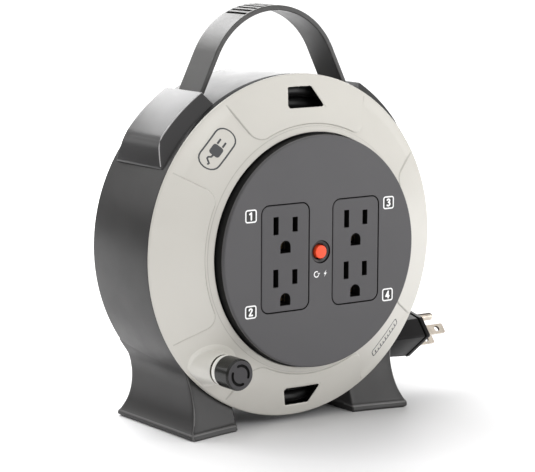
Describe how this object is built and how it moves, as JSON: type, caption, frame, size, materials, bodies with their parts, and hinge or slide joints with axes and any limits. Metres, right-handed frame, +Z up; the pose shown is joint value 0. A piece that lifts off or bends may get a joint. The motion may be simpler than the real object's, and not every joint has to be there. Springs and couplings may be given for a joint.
{
  "type": "extension cord reel",
  "caption": "Cassette extension cord reel: grounded outlets on a turning drum face, winding knob, carry strap, splayed feet and a plug at the side.",
  "frame": {"origin": "on the supporting surface under the feet, midway between left and right and midway between the knob's front and the feet's back", "axes": "+Z up; the outlets face -Y; +X is towards the side that the plug comes out of; the drum turns about Y"},
  "size_m": [0.2241, 0.1009, 0.2319],
  "materials": {
    "housing_grey": "fine moulded grain, satin",
    "ring_white": "semi-gloss moulded ABS",
    "panel_grey": "satin moulded",
    "insert_grey": "satin moulded",
    "knob_black": "satin moulded",
    "button_red": "gloss moulded",
    "bezel_black": "satin moulded",
    "cord_black": "satin vinyl jacket",
    "plug_black": "satin vinyl moulding",
    "blade_metal": "nickel-washed brass",
    "contact_brass": "stamped brass",
    "screw_steel": "zinc plated",
    "bush_nylon": "natural nylon",
    "carrier_black": "moulded phenolic",
    "wire_black": "vinyl insulation",
    "wire_white": "vinyl insulation",
    "wire_green": "vinyl insulation"
  },
  "bodies": {
    "housing": {"housing_shell": "housing_grey", "back_cover": "housing_grey", "back_cover_screws": "screw_steel", "shoulder_left": "housing_grey", "shoulder_right": "housing_grey", "shoulder_screws": "screw_steel", "carry_handle": "housing_grey", "cord_guide": "bezel_black", "axle_washer": "screw_steel", "axle_screw": "screw_steel", "cord_lead": "cord_black", "plug_strain_relief": "plug_black", "plug_body": "plug_black", "plug_blade_neutral": "blade_metal", "plug_blade_line": "blade_metal", "plug_ground_pin": "blade_metal"},
    "drum": {"front_flange": "ring_white", "drum_core": "housing_grey", "rear_flange": "housing_grey", "flange_screws": "screw_steel", "bearing_bush": "bush_nylon", "outlet_panel": "panel_grey", "panel_screws": "screw_steel", "carrier_screws": "screw_steel", "breaker_bezel": "bezel_black", "breaker_body": "carrier_black", "breaker_terminals": "contact_brass", "knob_collar": "ring_white", "cord_clamp": "carrier_black", "cord_clamp_screws": "screw_steel", "ground_wire": "wire_green", "neutral_wire": "wire_white", "line_wire": "wire_black", "cord_winding": "cord_black", "outlet_insert_left": "insert_grey", "contact_carrier_left": "carrier_black", "carrier_cover_left": "carrier_black", "neutral_strip_left": "contact_brass", "line_strip_left": "contact_brass", "ground_strip_left": "contact_brass", "outlet_insert_right": "insert_grey", "contact_carrier_right": "carrier_black", "carrier_cover_right": "carrier_black", "neutral_strip_right": "contact_brass", "line_strip_right": "contact_brass", "ground_strip_right": "contact_brass", "cord_tail": "cord_black"},
    "knob": {"crank_knob": "knob_black", "knob_clip": "screw_steel"},
    "button": {"reset_button": "button_red"}
  },
  "joints": [
    {"name": "drum_spin", "type": "hinge", "parent": "housing", "child": "drum", "pos_m": [0, 0, 0.0996], "axis": [0, 1, 0], "continuous": true},
    {"name": "knob_spin", "type": "hinge", "parent": "drum", "child": "knob", "pos_m": [-0.05982, -0.04235, 0.03978], "axis": [0, 1, 0], "continuous": true},
    {"name": "reset_press", "type": "slide", "parent": "drum", "child": "button", "axis": [0, 1, 0], "range_m": [-0.0025, 0.0008], "stiffness_N_per_m": 300}
  ]
}
